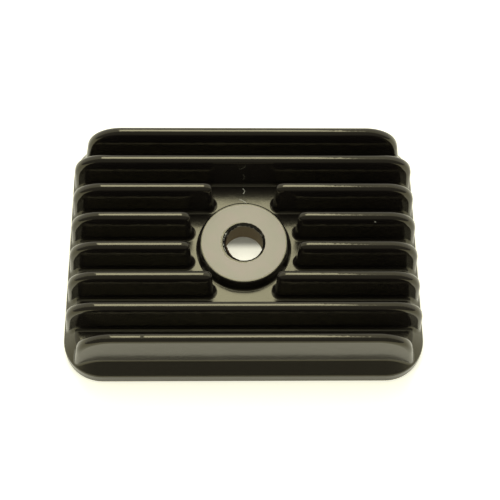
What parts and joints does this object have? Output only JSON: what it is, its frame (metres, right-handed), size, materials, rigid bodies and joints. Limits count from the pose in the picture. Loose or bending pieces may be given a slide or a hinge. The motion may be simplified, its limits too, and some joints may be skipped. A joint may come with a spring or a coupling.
{
  "type": "engine valve cover",
  "caption": "Rectangular cast valve cover with tall parallel cooling fins, parted around a round central boss with a through-bore, gloss black with bare machined seat.",
  "frame": {"origin": "centre of the gasket face, on the axis of the bore", "axes": "+X along the fins, +Y across the fins, +Z along the bore axis from the gasket face towards the fin tips"},
  "size_m": [0.1044, 0.0768, 0.0212],
  "materials": {
    "enamelled_casting": "gloss"
  },
  "bodies": {
    "root": {"valve_cover": "enamelled_casting"}
  },
  "joints": []
}
